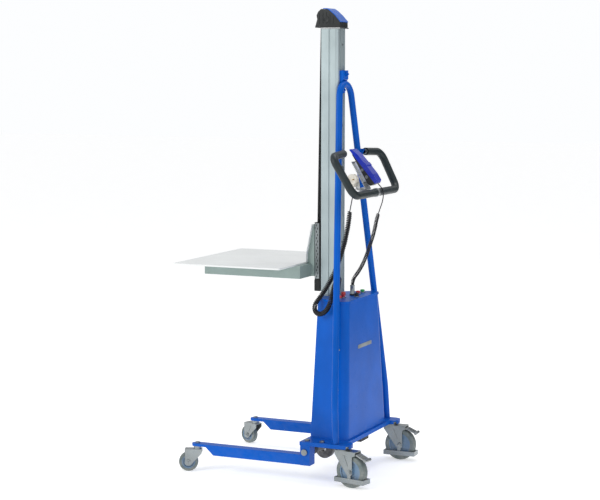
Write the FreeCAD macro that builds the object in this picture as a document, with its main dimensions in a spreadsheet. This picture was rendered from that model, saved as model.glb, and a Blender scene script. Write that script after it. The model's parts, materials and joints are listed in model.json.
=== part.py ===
import FreeCAD, Part
import math
import os
import re
import Sketcher

# A light electric stacker: a belt-lift mast with a platform in front, an A-frame with a looped
# handle behind it and a battery cabinet between the A-frame's legs, on four swivel castors.
# Millimetres, +Z up. The platform faces -Y and the operator stands at +Y. The shapes are drawn
# about the mast's own centre line, and mast_y moves them so that the origin is the middle of
# the whole machine, on the floor.

DIMENSIONS = {
    # base and mast
    "mast_y": 150.4, "base_top": 162, "base_skirt": 15, "base_wall": 4, "base_half": 282,
    "base_front": -22, "ear_rear": 179, "ear_inner": 216, "base_rear": 150, "ear_fillet": 27,
    "mast_half": 40, "mast_front": -40, "mast_rear": 30, "mast_wall": 5, "mast_top": 1721,
    "mast_fillet": 13, "slot_half": 11, "groove_half": 4, "groove_depth": 3, "top_plate": 4,
    # legs
    "leg_x": 260, "leg_half": 20, "leg_low": 71, "leg_top": 111, "leg_wall": 3, "pad_thick": 10,
    "leg_tip": -492, "pad_end": -425, "chamfer_end": -392, "bracket_half": 23,
    "bracket_front": -19, "bracket_rear": 21, "pivot_bolt_z": 122, "pivot_bolt": 6,
    # castors
    "front_x": 260, "front_y": -470, "front_wheel": 37.5, "front_trail": 36, "front_width": 25,
    "rear_x": 250, "rear_y": 145, "rear_wheel": 62.5, "rear_trail": 40, "rear_width": 32,
    "axle": 6, "fit": 0.05, "guard_length": 130, "guard_half": 25, "guard_wall": 4,
    "guard_low": 20, "guard_high": 38, "fork_plate": 3,
    # lift
    "pulley": 25, "pulley_half": 27, "flange": 2.4, "pulley_y": -20, "pulley_z": 1756,
    "drum": 24, "drum_y": -19, "drum_z": 85, "belt_half": 26, "belt": 3, "belt_gap": 0.3,
    "shaft": 8, "gear_case": 36, "motor": 24, "motor_z": 118, "motor_end": 185,
    # carriage and platform
    "carriage_low": 707, "carriage_high": 974, "carriage_half": 42, "carriage_back": -44,
    "carriage_face": -66, "platform_half": 300, "platform_front": -555, "platform_rear": -98,
    "platform_top": 820, "platform_thick": 6, "tray_half": 150, "tray_front": -492,
    "tray_low": 765, "tray_wall": 3, "gusset_x": 45, "gusset": 5, "backrest_top": 968,
    # cabinet
    "front_face": -24, "front_low_half": 174, "front_high_half": 104, "splay_y": 90,
    "box_low_half": 213, "box_high_half": 171, "box_low_rear": 140, "box_high_rear": 123,
    "box_top": 681, "sheet_wall": 3, "box_fillet": 34, "lid": 9, "lid_lip": 4,
    # A-frame and handle
    "tube": 12.5, "foot_x": 264, "foot_y": 120, "knee_x": 258, "knee_y": 113, "knee_z": 300,
    "arm_x": 61, "arm_y": 45, "arm_z": 1450, "apex": 60, "grip": 15, "handle_core": 10.7,
    "bar_half": 222, "bar_y": 174, "bar_z": 1096, "top_half": 245, "top_y": 94, "top_z": 1241,
    "end_x": 110, "end_y": 83, "end_z": 1247,
    # handset, plug and cords
    "handset_x": -14, "handset_y": 118, "handset_z": 1194, "handset_tilt": -50,
    "handset_half": 25, "plug_x": 72, "plug_y": 112, "plug_z": 1150, "plug": 20,
    "thin_cord": 2, "coil": 8, "big_coil": 10,
}

doc = FreeCAD.newDocument("stacker")
sheet = doc.addObject("Spreadsheet::Sheet", "Sheet")
for row, (alias, value) in enumerate(DIMENSIONS.items(), 1):
    sheet.set(f"A{row}", alias)
    sheet.set(f"B{row}", str(value))
    sheet.setAlias(f"B{row}", alias)
doc.recompute()

Vector = FreeCAD.Vector
QUARTER = 90
subparts = {}


def cells(text):
    """An expression with each dimension's name turned into a reference to the sheet."""
    return re.sub(r"[a-z_]\w*", lambda m: "Sheet." + m[0] if m[0] in DIMENSIONS else m[0], str(text))


def number(text):
    return float(sheet.evalExpression(cells(text)))


def bind(thing, prop, text):
    thing.setExpression(prop, cells(text))


def place(thing, at):
    for letter, text in zip("xyz", at):
        bind(thing, ".Placement.Base." + letter, text)


def box(x, y, z):
    """A box from its low and high expression along each axis."""
    block = doc.addObject("Part::Box", "block")
    for prop, (low, high) in zip(("Length", "Width", "Height"), (x, y, z)):
        bind(block, prop, f"({high}) - ({low})")
    place(block, (x[0], y[0], z[0]))
    return block


def cylinder(radius, length, start, axis="Z"):
    """A cylinder that runs from its start towards +X, +Y or +Z."""
    rod = doc.addObject("Part::Cylinder", "rod")
    bind(rod, "Radius", radius)
    bind(rod, "Height", length)
    turns = {"X": (Vector(0, 1, 0), QUARTER), "Y": (Vector(1, 0, 0), -QUARTER), "Z": (Vector(0, 0, 1), 0)}
    rod.Placement.Rotation = FreeCAD.Rotation(*turns[axis])
    place(rod, start)
    return rod


def ring(outer, inner, length, start, axis="Z"):
    back = [f"({text}) - 1" if letter == axis else text for letter, text in zip("XYZ", start)]
    return cut(cylinder(outer, length, start, axis), cylinder(inner, f"({length}) + 2", back, axis))


def fuse(*shapes):
    joined = doc.addObject("Part::MultiFuse", "joined")
    joined.Shapes = list(shapes)
    return joined


def common(*shapes):
    shared = doc.addObject("Part::MultiCommon", "shared")
    shared.Shapes = list(shapes)
    return shared


def cut(base, *tools):
    result = doc.addObject("Part::Cut", "trimmed")
    result.Base = base
    result.Tool = tools[0] if len(tools) == 1 else fuse(*tools)
    return result


def group(*shapes):
    bundle = doc.addObject("Part::Compound", "bundle")
    bundle.Links = list(shapes)
    return bundle


def sub_part(label, thing, at=("0", "mast_y", "0"), turn="0", about=Vector(0, 0, 1)):
    """Names a finished piece and puts it where it belongs in the machine."""
    if thing.TypeId in ("Part::Box", "Part::Cylinder"):
        thing = group(thing)
    thing.Label = label
    if turn != "0":
        thing.Placement.Rotation = FreeCAD.Rotation(about, number(turn))
        bind(thing, ".Placement.Rotation.Angle", turn)
    place(thing, at)
    subparts[label] = thing
    return thing


def new_body(name):
    return doc.addObject("PartDesign::Body", name)


def sketch(body, name, plane, points, offset="0", holes=()):
    """An outline of bound corners, or none, and round holes, on one of the body's own planes."""
    drawing = body.newObject("Sketcher::SketchObject", name)
    support = next(f for f in body.Origin.OriginFeatures if f.Role == plane)
    drawing.AttachmentSupport = [(support, "")]
    drawing.MapMode = "FlatFace"
    bind(drawing, ".AttachmentOffset.Base.z", offset)
    corners = [Vector(number(x), number(y), 0) for x, y in points]
    count = len(corners)
    for i in range(count):
        drawing.addGeometry(Part.LineSegment(corners[i], corners[(i + 1) % count]))
    for i in range(count):
        drawing.addConstraint(Sketcher.Constraint("Coincident", i, 2, (i + 1) % count, 1))
        pin_point(drawing, i, 1, points[i], corners[i])
    for x, y, radius in holes:
        centre = Vector(number(x), number(y), 0)
        circle = drawing.addGeometry(Part.Circle(centre, Vector(0, 0, 1), number(radius)))
        pin_point(drawing, circle, 3, (x, y), centre)
        size = drawing.addConstraint(Sketcher.Constraint("Radius", circle, number(radius)))
        bind(drawing, f"Constraints[{size}]", radius)
    return drawing


def pin_point(drawing, piece, end, texts, spot):
    for kind, text, value in zip(("DistanceX", "DistanceY"), texts, (spot.x, spot.y)):
        index = drawing.addConstraint(Sketcher.Constraint(kind, -1, 1, piece, end, value))
        bind(drawing, f"Constraints[{index}]", text)


def pad(body, drawing, length, kind="PartDesign::Pad", reverse=False):
    feature = body.newObject(kind, drawing.Name + "_feature")
    feature.Profile = drawing
    feature.Reversed = reverse
    bind(feature, "Length", length)
    drawing.Visibility = False
    doc.recompute()
    return feature


def pocket(body, drawing, length, reverse=False):
    before = body.Shape.Volume
    feature = pad(body, drawing, length, "PartDesign::Pocket", reverse)
    if body.Shape.Volume > before - 1:
        raise RuntimeError(drawing.Name + " cuts nothing")
    return feature


def round_edges(body, radius, wanted):
    """Fillets the edges of the body's last feature that the test picks by their ends."""
    base = body.Tip
    names = []
    for i, edge in enumerate(base.Shape.Edges, 1):
        ends = [v.Point for v in edge.Vertexes]
        if len(ends) == 2 and wanted(*ends):
            names.append(f"Edge{i}")
    feature = body.newObject("PartDesign::Fillet", "rounding")
    feature.Base = (base, names)
    bind(feature, "Radius", radius)
    doc.recompute()
    return feature


def prism(label, plane, points, start, length, holes=()):
    """A body with one padded outline. The XZ plane's pad runs towards -Y."""
    body = new_body(label)
    pad(body, sketch(body, label + "_outline", plane, points, start, holes), length)
    return body


def upright(a, b):
    return abs(a.x - b.x) < 0.01 and abs(a.y - b.y) < 0.01


def loft(body, name, sections, kind="PartDesign::AdditiveLoft"):
    """A loft through outlines on level planes, each given with its height."""
    drawings = [sketch(body, f"{name}_{i}", "XY_Plane", points, z)
                for i, (points, z) in enumerate(sections)]
    feature = body.newObject(kind, name)
    feature.Profile = drawings[0]
    feature.Sections = drawings[1:]
    feature.Ruled = True
    doc.recompute()
    return feature


def mirrored(points):
    """The outline's right-hand points followed by their mirror image in reverse."""
    return points + [(f"-({x})", y) for x, y in reversed(points)]


def smooth_path(points, radii=None):
    """Straight runs joined by tangent arcs. Each arc takes 0.45 of its shorter run by default."""
    points = [Vector(*p) for p in points]
    edges, start, used = [], points[0], []
    for i in range(1, len(points) - 1):
        back, ahead = points[i - 1] - points[i], points[i + 1] - points[i]
        half = (math.pi - back.getAngle(ahead)) / 2
        reach = 0.45 * min(back.Length, ahead.Length)
        radius = reach / math.tan(half)
        if radii and radii[i - 1]:
            radius = radii[i - 1]
            reach = radius * math.tan(half)
        used.append((radius, 2 * math.degrees(half)))
        back.normalize()
        ahead.normalize()
        first, last = points[i] + back * reach, points[i] + ahead * reach
        middle = back + ahead
        middle.normalize()
        top = points[i] + middle * (radius / math.cos(half) - radius)
        edges += [Part.LineSegment(start, first).toShape(), Part.Arc(first, top, last).toShape()]
        start = last
    edges.append(Part.LineSegment(start, points[-1]).toShape())
    return Part.Wire(edges), used


def swept(wire, radius, inner=0):
    """A round tube along a wire, solid or hollow."""
    start = wire.Edges[0]
    heading = start.tangentAt(start.FirstParameter)
    shape = None
    for size in (radius, inner):
        if not size:
            continue
        circle = Part.Wire([Part.Circle(wire.Vertexes[0].Point, heading, size).toShape()])
        solid = wire.makePipeShell([circle], True, False, 2)
        expected = math.pi * size ** 2 * wire.Length
        if abs(solid.Volume - expected) > 0.01 * expected:
            raise RuntimeError(f"a tube's volume is {solid.Volume:.0f}, not {expected:.0f}")
        shape = solid if shape is None else shape.cut(solid)
    return shape


def tube_part(label, wire, radius, inner=0):
    piece = doc.addObject("Part::Feature", label)
    piece.Shape = swept(wire, radius, inner)
    return sub_part(label, piece)


# ---------------------------------------------------------------- base

def build_base_plate():
    ears = [("base_half", "base_front"), ("base_half", "ear_rear"), ("ear_inner", "ear_rear"),
            ("ear_inner", "base_rear")]
    inside = [("base_half - base_wall", "base_front + base_wall"),
              ("base_half - base_wall", "ear_rear - base_wall"),
              ("ear_inner + base_wall", "ear_rear - base_wall"),
              ("ear_inner + base_wall", "base_rear - base_wall")]
    body = new_body("base_plate")
    pad(body, sketch(body, "base_outline", "XY_Plane", mirrored(ears), "base_top - base_skirt"),
        "base_skirt")
    rear = number("ear_rear")
    round_edges(body, "ear_fillet", lambda a, b: upright(a, b) and abs(a.y - rear) < 0.01)
    pocket(body, sketch(body, "base_inside", "XY_Plane", mirrored(inside), "base_top - base_skirt"),
           "base_skirt - 5", reverse=True)
    bolts = [(f"{side} * leg_x", y, "5.3") for side in (1, -1) for y in ("1", "62")]
    window = [("29", "1"), ("29", "16"), ("-29", "16"), ("-29", "1")]
    pocket(body, sketch(body, "belt_window", "XY_Plane", window, "base_top", bolts), "6")
    return sub_part("base_plate", body)


def build_leg(label, side):
    body = new_body(label)
    profile = [("leg_tip", "leg_top - pad_thick"), ("pad_end", "leg_top - pad_thick"),
               ("chamfer_end", "leg_low"), ("bracket_front", "leg_low"), ("bracket_front", "leg_top"),
               ("leg_tip", "leg_top")]
    pad(body, sketch(body, label + "_side", "YZ_Plane", profile, "-leg_half"), "2 * leg_half")
    tip = number("leg_tip")
    round_edges(body, "leg_half - 1", lambda a, b: upright(a, b) and abs(a.y - tip) < 0.01)
    block = [("bracket_front", "leg_low"), ("bracket_rear", "leg_low"),
             ("bracket_rear", "base_top - base_skirt"), ("bracket_front", "base_top - base_skirt")]
    pad(body, sketch(body, label + "_bracket", "YZ_Plane", block, "-bracket_half"), "2 * bracket_half")
    neck = [("17.5", "bracket_front + 2"), ("17.5", "bracket_rear"), ("-17.5", "bracket_rear"),
            ("-17.5", "bracket_front + 2")]
    pad(body, sketch(body, label + "_neck", "XY_Plane", neck, "base_top - base_skirt"), "base_skirt - 5")
    hollow = [("chamfer_end + 4", "leg_low + leg_wall"), ("bracket_rear - 4", "leg_low + leg_wall"),
              ("bracket_rear - 4", "leg_top - leg_wall"), ("chamfer_end + 4", "leg_top - leg_wall")]
    pocket(body, sketch(body, label + "_hollow", "YZ_Plane", hollow, "leg_wall - leg_half"),
           "2 * (leg_half - leg_wall)", reverse=True)
    well = [("13", "bracket_front + 6"), ("13", "bracket_rear - 5"), ("-13", "bracket_rear - 5"),
            ("-13", "bracket_front + 6")]
    pocket(body, sketch(body, label + "_well", "XY_Plane", well, "base_top - 5"), "60")
    cross = sketch(body, label + "_cross", "YZ_Plane", [], "-bracket_half - 1",
                   [("-1", "pivot_bolt_z", "pivot_bolt + fit")])
    pocket(body, cross, "2 * bracket_half + 2", reverse=True)
    stem = sketch(body, label + "_stem", "XY_Plane", [], "leg_top + 1", [("0", "front_y", "5.3")])
    pocket(body, stem, "pad_thick + 2")
    return sub_part(label, body, (f"{side} * leg_x", "mast_y", "0"))


def hexagon(radius, height, start):
    nut = doc.addObject("Part::Prism", "nut")
    nut.Polygon = 6
    bind(nut, "Circumradius", radius)
    bind(nut, "Height", height)
    place(nut, start)
    return nut


def build_base_bolts():
    pieces = []
    for side in (1, -1):
        for y, shank in (("1", "30"), ("62", "12")):
            x = f"{side} * leg_x"
            pieces.append(fuse(hexagon("9.5", "6.5", (x, y, "base_top")),
                               cylinder("5", shank, (x, y, f"base_top - {shank}"))))
        head = f"{side} * (leg_x + bracket_half)" if side > 0 else "-leg_x - bracket_half - 6"
        inner = "leg_x - bracket_half" if side > 0 else "-leg_x - bracket_half"
        shank = cylinder("pivot_bolt", "2 * bracket_half", (inner, "-1", "pivot_bolt_z"), "X")
        pieces.append(fuse(cylinder("12", "6", (head, "-1", "pivot_bolt_z"), "X"), shank))
    return sub_part("base_bolts", group(*pieces))


def build_castor_bearings():
    pieces = []
    for side in (1, -1):
        x = f"{side} * front_x"
        pieces.append(fuse(cylinder("16", "6", (x, "front_y", "leg_top - pad_thick - 6")),
                           cylinder("5", "19", (x, "front_y", "leg_top - pad_thick - 3")),
                           hexagon("9", "5", (x, "front_y", "leg_top"))))
        x = f"{side} * rear_x"
        plate = box((f"{x} - 27", f"{x} + 27"), ("rear_y - 27", "rear_y + 27"),
                    ("base_top - 9", "base_top - 5"))
        pieces.append(fuse(plate, cylinder("24", "6", (x, "rear_y", "base_top - 15"))))
    return sub_part("castor_bearings", group(*pieces))


# ---------------------------------------------------------------- castors

def fork_outline(wheel, trail, crown, back, front):
    """Side view of a fork cheek: crown arm, slanted web and the lug round the axle."""
    return [(front, crown), (back, crown), (back, f"{crown} - 14"), (f"{trail} + 13", f"{crown} - 19"),
            (f"{trail} + 13", f"{wheel} - 8"), (f"{trail} + 7", f"{wheel} - 14"),
            (f"{trail} - 7", f"{wheel} - 14"), (f"{trail} - 13", f"{wheel} - 8"),
            (front, f"{crown} - 16")]


def build_fork(label, size, at, turn, guarded):
    wheel, trail, width, crown, back, front, head = size
    inner = f"({width}) / 2 + 3"
    cheeks = [prism(label + "_cheek", "YZ_Plane", fork_outline(wheel, trail, crown, back, front), start,
                    "fork_plate", [(trail, wheel, "axle")])
              for start in (inner, f"-({inner}) - fork_plate")]
    roof = box((f"-({inner})", inner), (front, back), (f"{crown} - fork_plate", crown))
    pin = cylinder("axle", f"2 * ({inner} + fork_plate + 4)",
                   (f"-({inner}) - fork_plate - 4", trail, wheel), "X")
    nuts = [cylinder("9.5", "4", (start, trail, wheel), "X")
            for start in (f"{inner} + fork_plate", f"-({inner}) - fork_plate - 4")]
    crown_disc = cylinder(head, "7", ("0", "0", f"{crown} - 1"))
    guard = build_guard(inner) if guarded else []
    return sub_part(label, fuse(*cheeks, roof, crown_disc, pin, *nuts, *guard), at, turn)


def build_guard(inner):
    """A flat-bar foot guard round the wheel, on a bracket down from each cheek."""
    low, high = "guard_low", "guard_high"
    y = ("rear_trail - guard_length / 2", "rear_trail + guard_length / 2")
    outer = box(("-guard_half", "guard_half"), y, (low, high))
    hole = box(("guard_wall - guard_half", "guard_half - guard_wall"),
               (f"{y[0]} + guard_wall", f"{y[1]} - guard_wall"), (f"{low} - 1", f"{high} + 1"))
    brackets = [box((start, f"{start} + fork_plate"), ("rear_trail - 7", "rear_trail + 7"),
                    (f"{low} + 4", "rear_wheel - 10")) for start in (inner, f"-({inner}) - fork_plate")]
    return [cut(outer, hole), *brackets]


def build_wheel(prefix, wheel, trail, width, hub, at, turn):
    """A grey tread on a plastic centre, turning on the fork's axle."""
    start = (f"-({width}) / 2", trail, wheel)
    tread = doc.addObject("Part::Fillet", "tread")
    tread.Base = cylinder(wheel, width, start, "X")
    doc.recompute()
    rims = [i for i, e in enumerate(tread.Base.Shape.Edges, 1) if e.Curve.TypeId == "Part::GeomCircle"]
    tread.Edges = [(i, number(f"({width}) / 5"), number(f"({width}) / 5")) for i in rims]
    bore = (f"-({width}) / 2 - 1", trail, wheel)
    sub_part(prefix + "_tyre", cut(tread, cylinder(hub, f"{width} + 2", bore, "X")), at, turn)
    disc = cylinder(hub, f"{width} - 2", (f"1 - ({width}) / 2", trail, wheel), "X")
    boss = cylinder("axle + 7", f"{width} + 3", (f"-({width}) / 2 - 1.5", trail, wheel), "X")
    dishes = [ring(f"{hub} - 5", "axle + 9", "5", (x, trail, wheel), "X")
              for x in (f"({width}) / 2 - 5", f"-({width}) / 2")]
    hole = cylinder("axle + fit", f"{width} + 8", (f"-({width}) / 2 - 4", trail, wheel), "X")
    sub_part(prefix + "_hub", cut(fuse(disc, boss), *dishes, hole), at, turn)


def build_pedal(label, at, turn):
    """A sloping brake lever, hinged between the fork's cheeks behind the crown."""
    blade = [("61", "134"), ("72", "131"), ("108", "115"), ("107", "111"), ("71", "126"), ("61", "127")]
    plate = prism(label + "_blade", "YZ_Plane", blade, "-18", "36")
    pivot = cylinder("4", "37.8", ("-18.9", "60", "130"), "X")
    return sub_part(label, fuse(plate, pivot), at, turn)


FRONT = ("front_wheel", "front_trail", "front_width", "leg_top - pad_thick - 12.5", "50", "-17", "15")
REAR = ("rear_wheel", "rear_trail", "rear_width", "base_top - 21.5", "66", "-25", "23")
CASTORS = (("front_left", FRONT, "front_x", "front_y", "203"),
           ("front_right", FRONT, "-front_x", "front_y", "163"),
           ("rear_left", REAR, "rear_x", "rear_y", "-11"),
           ("rear_right", REAR, "-rear_x", "rear_y", "2"))


def build_castors():
    for name, size, x, y, turn in CASTORS:
        rear = size is REAR
        at = (x, f"{y} + mast_y", "0")
        build_fork(name + "_fork", size, at, turn, rear)
        build_wheel(name, size[0], size[1], size[2], f"({size[0]}) * 0.72", at, turn)
        if rear:
            build_pedal(name + "_brake_pedal", at, turn)


# ---------------------------------------------------------------- mast, lift and cap

def build_mast():
    outer = [("slot_half", "mast_front"), ("mast_half", "mast_front"),
             ("mast_half", "-9"), ("mast_half - groove_depth", "-9"),
             ("mast_half - groove_depth", "-9 + 2 * groove_half"), ("mast_half", "-9 + 2 * groove_half"),
             ("mast_half", "mast_rear"), ("16 + groove_half", "mast_rear"),
             ("16 + groove_half", "mast_rear - groove_depth"),
             ("16 - groove_half", "mast_rear - groove_depth"), ("16 - groove_half", "mast_rear")]
    inner = [("13", "mast_rear - mast_wall"), ("22", "mast_rear - mast_wall"),
             ("mast_half - mast_wall", "12"), ("mast_half - mast_wall", "mast_front + mast_wall"),
             ("slot_half", "mast_front + mast_wall")]
    left = [(f"-({x})", y) for x, y in reversed(outer)]
    inner_left = [(f"-({x})", y) for x, y in reversed(inner)]
    body = new_body("mast_profile")
    pad(body, sketch(body, "mast_section", "XY_Plane", outer + left + inner_left + inner, "base_top"),
        "mast_top - base_top")
    half, rear = number("mast_half"), number("mast_rear")
    round_edges(body, "mast_fillet",
                lambda a, b: upright(a, b) and abs(abs(a.x) - half) < 0.01 and abs(a.y - rear) < 0.01)
    return sub_part("mast_profile", body)


def build_top_plate():
    plate = prism("top_plate_blank", "XY_Plane",
                  [("43", "mast_front - 2"), ("43", "mast_rear + 9"), ("-43", "mast_rear + 9"),
                   ("-43", "mast_front - 2")], "mast_top", "top_plate")
    window = box(("-29", "29"), ("3", "15"), ("mast_top - 1", "mast_top + top_plate + 1"))
    return sub_part("mast_top_plate", cut(plate, window))


def build_cap():
    """A moulded shell over the top pulley, with a sloping roof strip."""
    side = [("mast_rear + 7", "mast_top + 4"), ("mast_rear + 7", "1746"), ("16", "1770"), ("-4", "1787"),
            ("-16", "1795"), ("-42", "1796"), ("-54", "1786"), ("-61", "1772"), ("-58", "1757"),
            ("-62", "1744"), ("-66", "mast_top + 8"), ("-66", "mast_top + 4")]
    inside = [("mast_rear + 3", "mast_top + 3"), ("mast_rear + 3", "1743"), ("14", "1765"),
              ("-6", "1783"), ("-17", "1791"), ("-40", "1792"), ("-51", "1783"), ("-57", "1771"),
              ("-54", "1757"), ("-58", "1743"), ("-62", "mast_top + 8"), ("-62", "mast_top + 3")]
    body = prism("cap_shell", "YZ_Plane", side, "-38", "76")
    pocket(body, sketch(body, "cap_inside", "YZ_Plane", inside, "-33"), "66", reverse=True)
    bore = sketch(body, "cap_bores", "YZ_Plane", [], "-39", [("pulley_y", "pulley_z", "shaft + fit")])
    pocket(body, bore, "78", reverse=True)
    sub_part("cap_shell", body)
    strip = [("mast_rear + 9", "1748"), ("17", "1772.5"), ("-3", "1790"), ("-16", "1798.5"),
             ("-34", "1799"), ("-34", "1796.4"), ("-16.5", "1795.6"), ("-3.8", "1787.4"),
             ("16.2", "1770.5"), ("mast_rear + 8", "1745.5")]
    sub_part("cap_roof", prism("cap_roof", "YZ_Plane", strip, "-38", "76"))


def build_lift():
    width = "2 * (pulley_half + flange)"
    wheel = fuse(cylinder("pulley", width, ("-pulley_half - flange", "pulley_y", "pulley_z"), "X"),
                 cylinder("pulley + 2.3", "flange", ("-pulley_half - flange", "pulley_y", "pulley_z"), "X"),
                 cylinder("pulley + 2.3", "flange", ("pulley_half", "pulley_y", "pulley_z"), "X"),
                 cylinder("shaft", "76", ("-38", "pulley_y", "pulley_z"), "X"))
    sub_part("top_pulley", wheel)
    drum = fuse(cylinder("drum", width, ("-pulley_half - flange", "drum_y", "drum_z"), "X"),
                cylinder("drum + 6", "flange", ("-pulley_half - flange", "drum_y", "drum_z"), "X"),
                cylinder("drum + 6", "flange", ("pulley_half", "drum_y", "drum_z"), "X"),
                cylinder("shaft", "92", ("-44", "drum_y", "drum_z"), "X"))
    sub_part("winding_drum", drum)
    over = common(ring("pulley + belt_gap + belt", "pulley + belt_gap", "2 * belt_half",
                       ("-belt_half", "pulley_y", "pulley_z"), "X"),
                  box(("-30", "30"), ("pulley_y - 40", "pulley_y + 40"), ("pulley_z", "pulley_z + 40")))
    rear = "pulley_y + pulley + belt_gap"
    strand = box(("-belt_half", "belt_half"), (rear, f"{rear} + belt"), ("drum_z", "pulley_z"))
    wrap = ring("drum + belt_gap + belt", "drum + belt_gap", "2 * belt_half",
                ("-belt_half", "drum_y", "drum_z"), "X")
    sub_part("belt_back_run", fuse(over, strand, wrap))
    face = "pulley_y - pulley - belt_gap"
    front = [(face, "pulley_z"), (f"{face} - belt", "pulley_z"),
             ("carriage_face + 4", "carriage_high"), ("carriage_face + 7", "carriage_high")]
    sub_part("belt_front_run", prism("belt_front_run", "YZ_Plane", front, "-belt_half", "2 * belt_half"))
    skirt, behind_skirt = "base_top - base_skirt", "base_front + base_wall + 0.5"
    case = cut(fuse(cylinder("gear_case", "24", ("31", "drum_y", "drum_z"), "X"),
                    box(("31", "55"), ("drum_y - 20", "drum_y + 20"), ("drum_z", skirt)),
                    box(("31", "55"), (behind_skirt, "drum_y + 20"), (skirt, "base_top - 5"))),
               cylinder("shaft + fit", "30", ("28", "drum_y", "drum_z"), "X"))
    barrel = cylinder("motor", "motor_end - 55", ("55", "drum_y + 8", "motor_z"), "X")
    hanger = cut(fuse(box(("-44", "-36"), ("drum_y - 14", "drum_y + 14"), ("drum_z - 16", skirt)),
                      box(("-44", "-36"), (behind_skirt, "drum_y + 14"), (skirt, "base_top - 5"))),
                 cylinder("shaft + fit", "12", ("-46", "drum_y", "drum_z"), "X"))
    sub_part("lift_gearmotor", group(case, barrel, hanger))
    housing = box(("-140", "-60"), ("40", "90"), ("100", "base_top - 5"))
    sub_part("charger_housing", housing)


# ---------------------------------------------------------------- carriage and platform

def build_carriage():
    """A plate and two cheeks with a heavy foot, and the low-friction glides that run in the mast."""
    half = "carriage_half"
    plate = box((f"-{half}", half), ("carriage_face", "carriage_face + 6"),
                ("carriage_low", "carriage_high"))
    cheeks = [box((x, f"{x} + 7"), ("carriage_face + 6", "carriage_back"),
                  ("carriage_low + 46", "carriage_high")) for x in (f"-{half}", f"{half} - 7")]
    foot = box((f"-{half}", half), ("carriage_face + 6", "carriage_back"),
               ("carriage_low", "carriage_low + 45"))
    clamp = box(("-35", "35"), ("carriage_face + 7.6", "carriage_back"),
                ("carriage_high - 62", "carriage_high - 10"))
    seats = box(("-31", "31"), ("carriage_back - 3", "carriage_back + 1"),
                ("carriage_low + 9", "carriage_high - 9"))
    sub_part("carriage_frame", cut(fuse(plate, *cheeks, foot, clamp), seats))
    mouth = "mast_front + mast_wall + 1"
    glides = []
    for z in ("carriage_low + 10", "carriage_high - 62"):
        span = (z, f"{z} + 35")
        glides.append(fuse(box(("0.6 - slot_half", "slot_half - 0.6"), ("carriage_back", mouth), span),
                           box(("-22", "22"), (mouth, f"{mouth} + 8"), span),
                           box(("-30", "30"), ("carriage_back - 3", "carriage_back"), span)))
    sub_part("carriage_glides", group(*glides))


def build_platform():
    tray_top = "platform_top - platform_thick"
    rear = "-80"
    outer = box(("-tray_half", "tray_half"), ("tray_front", rear), ("tray_low", tray_top))
    inner = box(("tray_wall - tray_half", "tray_half - tray_wall"),
                ("tray_front + tray_wall", f"{rear} - tray_wall"),
                ("tray_low - 1", f"{tray_top} - tray_wall"))
    gussets = []
    for x in ("gusset_x - gusset", "-gusset_x"):
        side = [("carriage_face", "tray_low"), (rear, "tray_low"), ("-94", tray_top),
                ("-94", "platform_top + 30"), ("carriage_face - 4", "backrest_top"),
                ("carriage_face", "backrest_top")]
        gussets.append(prism("gusset", "YZ_Plane", side, x, "gusset"))
    tray = fuse(cut(outer, inner), *gussets)
    sub_part("platform_tray", tray)
    plate = prism("platform_plate", "XY_Plane",
                  [("platform_half", "platform_front"), ("platform_half", "platform_rear"),
                   ("-platform_half", "platform_rear"), ("-platform_half", "platform_front")],
                  tray_top, "platform_thick")
    round_edges(plate, "12", upright)
    sub_part("platform_plate", plate)
    back = [("-97", "platform_top"), ("-94", "platform_top"), ("-94", "platform_top + 30"),
            ("carriage_face - 4", "backrest_top"), ("carriage_face - 7", "backrest_top"),
            ("-97", "platform_top + 30")]
    sub_part("backrest", prism("backrest", "YZ_Plane", back, "-60", "120"))


# ---------------------------------------------------------------- cabinet

def front_outline(half, inset, y_rear):
    """Plan of the splayed front housing: narrow at the front, as wide as the box behind."""
    low, high = half
    return mirrored([(f"{low} - {inset}", f"front_face + {inset}"), (f"{high} - {inset}", y_rear)])


def build_front_housing():
    low, high = ("front_low_half", "box_low_half"), ("front_high_half", "box_high_half")
    body = new_body("housing_blank")
    loft(body, "housing_outer", [(front_outline(low, "0", "splay_y"), "base_top"),
                                 (front_outline(high, "0", "splay_y"), "box_top")])
    inside = new_body("housing_inside")
    loft(inside, "housing_inner", [(front_outline(low, "sheet_wall", "splay_y + 1"), "base_top - 1"),
                                   (front_outline(high, "sheet_wall", "splay_y + 1"), "box_top + 1")])
    room = box(("-mast_half - 1", "mast_half + 1"), ("front_face - 1", "front_face + 10"),
               ("base_top - 1", "box_top + 1"))
    sub_part("front_housing", cut(body, inside, room))


def box_body(name, inset, low, high):
    """The tapered box behind the A-frame: leaning sides, a leaning back and two round corners."""
    body = new_body(name)
    front = [(f"-box_low_half + {inset}", low), (f"box_low_half - {inset}", low),
             (f"box_high_half - {inset}", high), (f"-box_high_half + {inset}", high)]
    start = "splay_y" if inset == "0" else "splay_y - 1"
    pad(body, sketch(body, name + "_front", "XZ_Plane", front, "-box_low_rear"),
        f"box_low_rear - ({start})")
    behind = [(f"box_low_rear - {inset}", low), ("box_low_rear + 1", low), ("box_low_rear + 1", high),
              (f"box_high_rear - {inset}", high)]
    pocket(body, sketch(body, name + "_lean", "YZ_Plane", behind, "-box_low_half - 1"),
           "2 * box_low_half + 2", reverse=True)
    corner = number("box_high_rear") - 10
    round_edges(body, f"box_fillet - {inset}",
                lambda a, b: abs(a.z - b.z) > 100 and min(a.y, b.y) > corner)
    return body


def build_control_box():
    shell = cut(box_body("box_blank", "0", "base_top", "box_top"),
                box_body("box_inside", "sheet_wall", "base_top - 1", "box_top + 1"))
    slot = box(("-70", "70"), ("100", "160"), ("498", "508"))
    sub_part("control_box", cut(shell, slot))


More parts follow.
